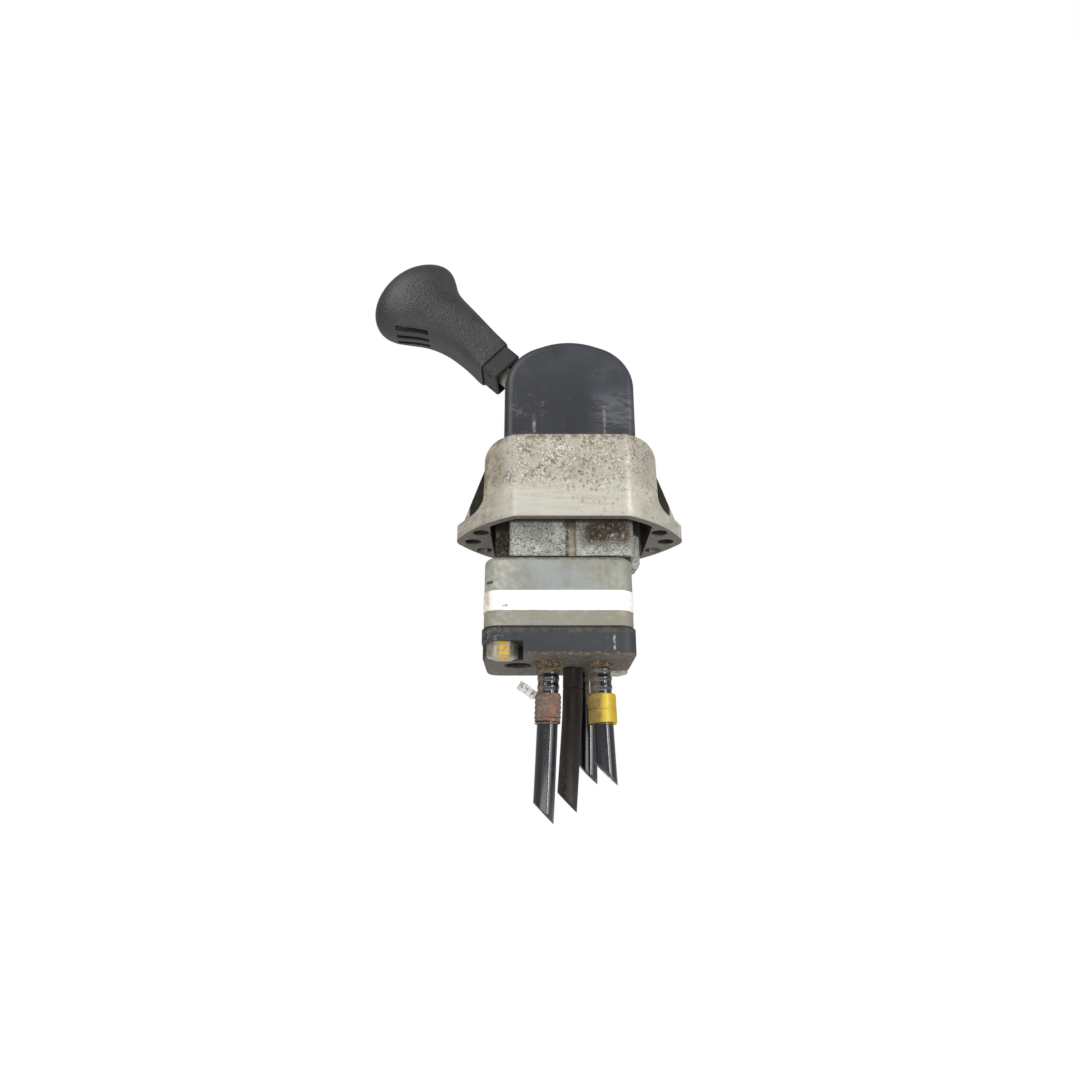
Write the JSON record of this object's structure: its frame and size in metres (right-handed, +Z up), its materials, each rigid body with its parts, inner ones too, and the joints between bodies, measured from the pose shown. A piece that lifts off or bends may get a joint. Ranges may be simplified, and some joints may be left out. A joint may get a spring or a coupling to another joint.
{
  "type": "hand brake control valve",
  "caption": "Air brake hand control valve: lever with a grip and lock collar in a slotted black cover, cast mounting bezel with drilled ears, valve housing, port plate and cut air pipes.",
  "frame": {"origin": "centre of the mounting bezel's underside, in the middle of the mounting holes", "axes": "+Z up the valve axis to the lever's cover, -Y to the front face, +X towards the parked end of the lever's swing"},
  "size_m": [0.1689, 0.075, 0.3104],
  "materials": {
    "cast_aluminium": "weathered die casting",
    "black_plastic": "satin, scuffed",
    "grip_plastic": "leather-grained",
    "black_rubber": "matt",
    "zinc_steel": "zinc plated",
    "spring_steel": "oiled",
    "brass_fittings": "machined",
    "white_label": "blank label film",
    "black_pipe": "glossy nylon pipe",
    "red_sleeve": "dusty tape",
    "yellow_sleeve": "dusty tape"
  },
  "bodies": {
    "housing": {"mounting_bezel": "cast_aluminium", "valve_neck": "cast_aluminium", "valve_body": "cast_aluminium", "control_cover": "black_plastic", "cover_seal": "black_rubber", "neck_bolts": "zinc_steel", "body_gasket": "black_rubber", "body_bolts": "zinc_steel", "body_label": "white_label", "port_gasket": "black_rubber", "port_plate": "black_plastic", "plate_bolts": "zinc_steel", "barbed_stems": "brass_fittings", "pipe_front_left": "black_pipe", "pipe_middle": "black_pipe", "pipe_rear": "black_pipe", "pipe_front_right": "black_pipe", "marker_sleeve_red": "red_sleeve", "marker_sleeve_yellow": "yellow_sleeve", "paper_tag": "white_label", "pivot_bushes": "brass_fittings", "lock_gate": "zinc_steel", "gate_screws": "zinc_steel", "return_spring": "spring_steel", "plunger_guide": "brass_fittings", "plunger_seal": "black_rubber", "graduating_spring": "spring_steel", "valve_seat": "brass_fittings", "valve_spring": "spring_steel", "valve_retainer": "brass_fittings"},
    "lever": {"lever_rod": "zinc_steel", "cam_hub": "zinc_steel", "pivot_pin": "zinc_steel", "pin_circlips": "spring_steel", "hub_pin": "zinc_steel", "grip": "grip_plastic", "grip_pin": "zinc_steel", "slot_shield": "black_plastic", "collar_spring": "spring_steel"},
    "collar": {"lock_collar": "black_plastic"},
    "plunger": {"plunger": "zinc_steel", "plunger_cap": "grip_plastic"},
    "piston": {"graduating_piston": "cast_aluminium", "piston_seal": "black_rubber"},
    "inlet_valve": {"valve_disc": "brass_fittings", "valve_face": "black_rubber"}
  },
  "joints": [
    {"name": "lever_swing", "type": "hinge", "parent": "housing", "child": "lever", "pos_m": [0, 0, 0.066], "axis": [0, 1, 0], "range_deg": [0, 73], "stiffness_Nm_per_rad": 0.6, "springref_deg": -34.38, "deforming": ["return_spring", "graduating_spring"]},
    {"name": "collar_lift", "type": "slide", "parent": "lever", "child": "collar", "axis": [-0.7314, 0, 0.682], "range_m": [0, 0.007], "stiffness_N_per_m": 800, "springref_m": -0.004, "deforming": ["collar_spring"]},
    {"name": "plunger_slide", "type": "slide", "parent": "housing", "child": "plunger", "axis": [0, 0, 1], "range_m": [0, 0.005]},
    {"name": "piston_slide", "type": "slide", "parent": "housing", "child": "piston", "axis": [0, 0, 1], "range_m": [0, 0.0025]},
    {"name": "inlet_valve_slide", "type": "slide", "parent": "housing", "child": "inlet_valve", "axis": [0, 0, -1], "range_m": [0, 0.0015], "stiffness_N_per_m": 1500, "springref_m": -0.003, "deforming": ["valve_spring"]}
  ],
  "couplings": [
    {"joint": "plunger_slide", "follows": "lever_swing", "m_per_rad": 0.0039244},
    {"joint": "piston_slide", "follows": "lever_swing", "m_per_rad": 0.0019622}
  ]
}
